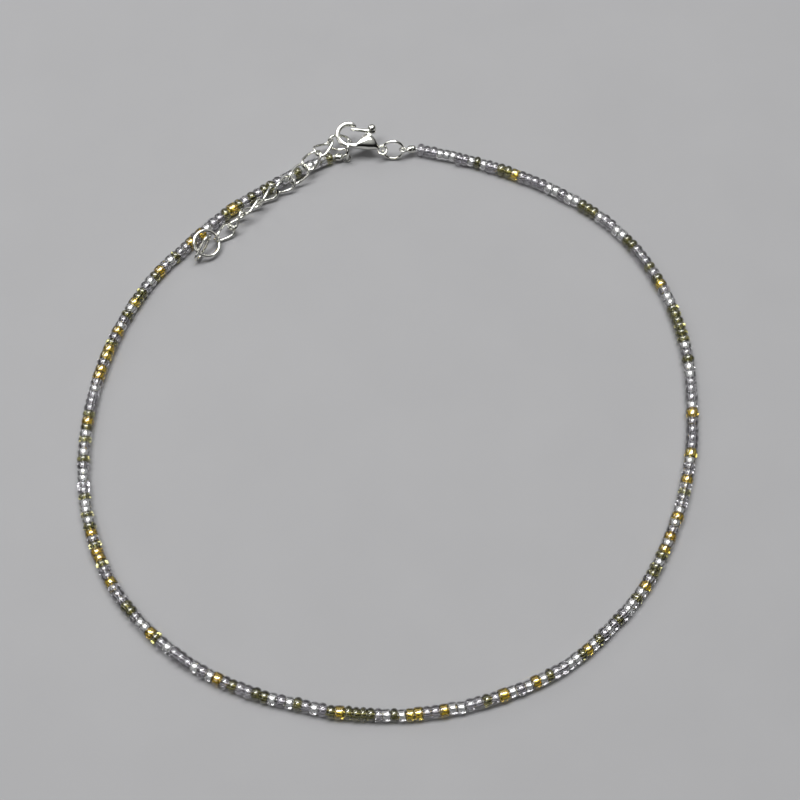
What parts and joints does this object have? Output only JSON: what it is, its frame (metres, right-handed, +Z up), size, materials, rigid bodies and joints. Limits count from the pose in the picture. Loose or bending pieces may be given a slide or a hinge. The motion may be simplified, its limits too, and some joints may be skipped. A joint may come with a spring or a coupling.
{
  "type": "beaded choker necklace",
  "caption": "Fine single-strand choker of small glass seed beads in grey, clear, gold and olive, fastened by a silver lobster clasp with a short extender chain and end ring.",
  "frame": {"origin": "on the table under the middle of the whole outline", "axes": "+Z up, -Y the front of the choker, +Y the fastening at the nape, +X to the right as seen from the front"},
  "size_m": [0.1036, 0.1084, 0.0047],
  "materials": {
    "beads_grey": "transparent smoky grey glass with a faint lavender tint",
    "beads_clear": "clear glass, silver-lined",
    "beads_gold": "amber glass, silver-lined",
    "beads_olive": "transparent dark olive glass",
    "silver": "polished silver plate",
    "thread": "thin beading thread"
  },
  "bodies": {
    "necklace": {"bead_string": "beads_grey", "crimp_right": "silver", "crimp_left": "silver", "clasp_body": "silver", "clasp_ring": "silver", "chain_ring": "silver", "chain_link_1": "silver", "chain_link_2": "silver", "chain_link_3": "silver", "chain_link_4": "silver", "chain_link_5": "silver", "chain_link_6": "silver", "chain_link_7": "silver", "chain_link_8": "silver", "chain_link_9": "silver", "end_ring": "silver", "tail_link": "silver"},
    "lever": {"clasp_lever": "silver"}
  },
  "joints": [
    {"name": "clasp_lever_hinge", "type": "hinge", "parent": "necklace", "child": "lever", "pos_m": [-0.00419, 0.05157, 0.00302], "axis": [0.0947, -0.3136, 0.9448], "range_deg": [0, 20], "stiffness_Nm_per_rad": 0.0005, "springref_deg": -8.59}
  ]
}
